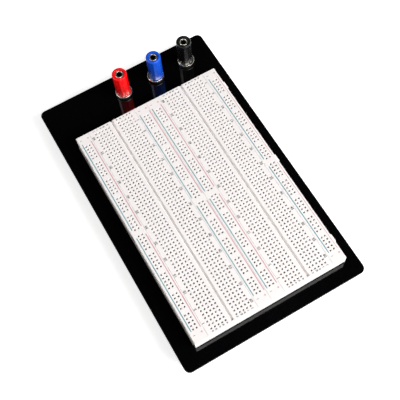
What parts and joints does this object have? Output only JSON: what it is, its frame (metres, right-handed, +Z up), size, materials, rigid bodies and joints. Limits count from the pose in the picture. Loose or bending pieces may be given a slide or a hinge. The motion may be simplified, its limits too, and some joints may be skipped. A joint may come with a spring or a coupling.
{
  "type": "solderless breadboard",
  "caption": "Solderless breadboard station: two tie-point boards with power rails on a glossy panel, with screw-down binding posts for supply leads.",
  "frame": {"origin": "on the bench under the middle of the panel, at the level of the feet", "axes": "+X across the boards to the right, +Y along the boards towards the binding posts, +Z up"},
  "size_m": [0.1314, 0.2146, 0.038],
  "materials": {
    "panel_paint": "gloss black baked enamel on aluminium sheet",
    "foot_rubber": "moulded matt rubber",
    "strip_abs": "moulded white ABS, fine satin",
    "contact_alloy": "folded nickel-silver spring strip",
    "pad_foam": "closed-cell adhesive foam",
    "knob_red": "moulded gloss red",
    "knob_blue": "moulded gloss blue",
    "knob_black": "moulded gloss black",
    "insert_brass": "turned brass",
    "nickel_plate": "bright nickel plate on turned brass",
    "insulator_nylon": "moulded black nylon",
    "lug_tin": "tinned brass stamping",
    "steel_zinc": "zinc-plated steel"
  },
  "bodies": {
    "panel": {"base_panel": "panel_paint", "rubber_feet": "foot_rubber", "bus_strip_1": "strip_abs", "bus_strip_1_contacts": "contact_alloy", "bus_strip_1_foam": "pad_foam", "terminal_strip_left": "strip_abs", "terminal_strip_left_contacts": "contact_alloy", "terminal_strip_left_foam": "pad_foam", "bus_strip_2": "strip_abs", "bus_strip_2_contacts": "contact_alloy", "bus_strip_2_foam": "pad_foam", "bus_strip_3": "strip_abs", "bus_strip_3_contacts": "contact_alloy", "bus_strip_3_foam": "pad_foam", "terminal_strip_right": "strip_abs", "terminal_strip_right_contacts": "contact_alloy", "terminal_strip_right_foam": "pad_foam", "bus_strip_4": "strip_abs", "bus_strip_4_contacts": "contact_alloy", "bus_strip_4_foam": "pad_foam", "post_stud_red": "nickel_plate", "post_washer_red": "nickel_plate", "upper_insulator_red": "insulator_nylon", "lower_insulator_red": "insulator_nylon", "solder_lug_red": "lug_tin", "post_stud_blue": "nickel_plate", "post_washer_blue": "nickel_plate", "upper_insulator_blue": "insulator_nylon", "lower_insulator_blue": "insulator_nylon", "solder_lug_blue": "lug_tin", "post_stud_black": "nickel_plate", "post_washer_black": "nickel_plate", "upper_insulator_black": "insulator_nylon", "lower_insulator_black": "insulator_nylon", "solder_lug_black": "lug_tin", "post_lock_washers": "steel_zinc", "post_hex_nuts": "steel_zinc"},
    "red_insert": {"knob_insert_red": "insert_brass"},
    "red_knob": {"knob_red": "knob_red"},
    "blue_insert": {"knob_insert_blue": "insert_brass"},
    "blue_knob": {"knob_blue": "knob_blue"},
    "black_insert": {"knob_insert_black": "insert_brass"},
    "black_knob": {"knob_black": "knob_black"}
  },
  "joints": [
    {"name": "red_knob_rise", "type": "slide", "parent": "panel", "child": "red_insert", "axis": [0, 0, 1], "range_m": [0, 0.00451]},
    {"name": "red_knob_turn", "type": "hinge", "parent": "red_insert", "child": "red_knob", "pos_m": [-0.006, 0.0905, 0.023], "axis": [0, 0, 1], "range_deg": [0, 2160]},
    {"name": "blue_knob_rise", "type": "slide", "parent": "panel", "child": "blue_insert", "axis": [0, 0, 1], "range_m": [0, 0.00451]},
    {"name": "blue_knob_turn", "type": "hinge", "parent": "blue_insert", "child": "blue_knob", "pos_m": [0.0206, 0.0905, 0.023], "axis": [0, 0, 1], "range_deg": [0, 2160]},
    {"name": "black_knob_rise", "type": "slide", "parent": "panel", "child": "black_insert", "axis": [0, 0, 1], "range_m": [0, 0.00451]},
    {"name": "black_knob_turn", "type": "hinge", "parent": "black_insert", "child": "black_knob", "pos_m": [0.0448, 0.0905, 0.023], "axis": [0, 0, 1], "range_deg": [0, 2160]}
  ],
  "couplings": [
    {"joint": "red_knob_rise", "follows": "red_knob_turn", "m_per_rad": 0.00011937},
    {"joint": "blue_knob_rise", "follows": "blue_knob_turn", "m_per_rad": 0.00011937},
    {"joint": "black_knob_rise", "follows": "black_knob_turn", "m_per_rad": 0.00011937}
  ]
}
